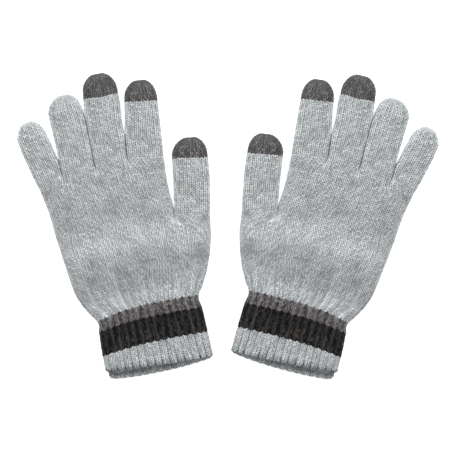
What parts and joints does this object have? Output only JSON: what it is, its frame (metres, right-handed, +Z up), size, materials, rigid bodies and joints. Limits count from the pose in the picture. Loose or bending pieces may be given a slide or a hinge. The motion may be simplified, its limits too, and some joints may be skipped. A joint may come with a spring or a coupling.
{
  "type": "touchscreen gloves",
  "caption": "Pair of knitted gloves with charcoal conductive fingertips and a ribbed, banded cuff, lying flat; fingers, thumbs and cuffs fold at their roots.",
  "frame": {"origin": "on the surface the pair lies on, at the middle of the pair's box", "axes": "+X from the left glove to the right glove, +Y roughly from the cuffs to the fingertips, +Z up from the surface"},
  "size_m": [0.3054, 0.2172, 0.012],
  "materials": {
    "light_grey_yarn": "soft melange plain knit, slightly fuzzy",
    "conductive_yarn": "charcoal plain knit with a fine conductive fibre",
    "dark_grey_yarn": "ribbed knit, mixed dark grey",
    "black_yarn": "ribbed knit, black",
    "elastic_thread": "covered elastic thread"
  },
  "bodies": {
    "left_hand": {"left_upper_palm": "light_grey_yarn", "left_lower_palm": "light_grey_yarn"},
    "left_cuff": {"left_cuff_grey_band": "dark_grey_yarn", "left_cuff_black_band": "black_yarn", "left_cuff_light_band": "light_grey_yarn", "left_cuff_edge": "light_grey_yarn", "left_cuff_elastic": "elastic_thread"},
    "left_thumb": {"left_thumb": "light_grey_yarn", "left_thumb_tip": "conductive_yarn"},
    "left_index": {"left_index_finger": "light_grey_yarn", "left_index_tip": "conductive_yarn"},
    "left_middle": {"left_middle_finger": "light_grey_yarn", "left_middle_tip": "conductive_yarn"},
    "left_ring": {"left_ring_finger": "light_grey_yarn"},
    "left_little": {"left_little_finger": "light_grey_yarn"},
    "right_hand": {"right_upper_palm": "light_grey_yarn", "right_lower_palm": "light_grey_yarn"},
    "right_cuff": {"right_cuff_grey_band": "dark_grey_yarn", "right_cuff_black_band": "black_yarn", "right_cuff_light_band": "light_grey_yarn", "right_cuff_edge": "light_grey_yarn", "right_cuff_elastic": "elastic_thread"},
    "right_thumb": {"right_thumb": "light_grey_yarn", "right_thumb_tip": "conductive_yarn"},
    "right_index": {"right_index_finger": "light_grey_yarn", "right_index_tip": "conductive_yarn"},
    "right_middle": {"right_middle_finger": "light_grey_yarn", "right_middle_tip": "conductive_yarn"},
    "right_ring": {"right_ring_finger": "light_grey_yarn"},
    "right_little": {"right_little_finger": "light_grey_yarn"}
  },
  "joints": [
    {"name": "gloves_apart", "type": "slide", "parent": "left_hand", "child": "right_hand", "axis": [1, 0, 0], "range_m": [0, 0.12]},
    {"name": "left_thumb_bend", "type": "hinge", "parent": "left_hand", "child": "left_thumb", "pos_m": [-0.02619, 0.00774, 0.012], "axis": [0.9982, 0.0593, 0], "range_deg": [0, 90]},
    {"name": "left_index_bend", "type": "hinge", "parent": "left_hand", "child": "left_index", "pos_m": [-0.05985, 0.04785, 0.012], "axis": [0.9966, 0.0819, 0], "range_deg": [0, 90]},
    {"name": "left_middle_bend", "type": "hinge", "parent": "left_hand", "child": "left_middle", "pos_m": [-0.08463, 0.04483, 0.012], "axis": [0.9857, 0.1685, 0], "range_deg": [0, 90]},
    {"name": "left_ring_bend", "type": "hinge", "parent": "left_hand", "child": "left_ring", "pos_m": [-0.10757, 0.03688, 0.012], "axis": [0.9781, 0.2079, 0], "range_deg": [0, 90]},
    {"name": "left_little_bend", "type": "hinge", "parent": "left_hand", "child": "left_little", "pos_m": [-0.12743, 0.02786, 0.012], "axis": [0.9219, 0.3875, 0], "range_deg": [0, 90]},
    {"name": "left_wrist_bend", "type": "hinge", "parent": "left_hand", "child": "left_cuff", "pos_m": [-0.05812, -0.06108, 0.012], "axis": [-0.9781, -0.2079, 0], "range_deg": [0, 60]},
    {"name": "right_thumb_bend", "type": "hinge", "parent": "right_hand", "child": "right_thumb", "pos_m": [0.02311, 0.01042, 0.012], "axis": [0.9934, -0.1149, 0], "range_deg": [0, 90]},
    {"name": "right_index_bend", "type": "hinge", "parent": "right_hand", "child": "right_index", "pos_m": [0.05895, 0.04858, 0.012], "axis": [0.9905, -0.1374, 0], "range_deg": [0, 90]},
    {"name": "right_middle_bend", "type": "hinge", "parent": "right_hand", "child": "right_middle", "pos_m": [0.08353, 0.04418, 0.012], "axis": [0.9748, -0.2233, 0], "range_deg": [0, 90]},
    {"name": "right_ring_bend", "type": "hinge", "parent": "right_hand", "child": "right_ring", "pos_m": [0.10599, 0.03497, 0.012], "axis": [0.965, -0.2622, 0], "range_deg": [0, 90]},
    {"name": "right_little_bend", "type": "hinge", "parent": "right_hand", "child": "right_little", "pos_m": [0.12532, 0.02485, 0.012], "axis": [0.8988, -0.4384, 0], "range_deg": [0, 90]},
    {"name": "right_wrist_bend", "type": "hinge", "parent": "right_hand", "child": "right_cuff", "pos_m": [0.05115, -0.06008, 0.012], "axis": [-0.965, 0.2622, 0], "range_deg": [0, 60]}
  ]
}
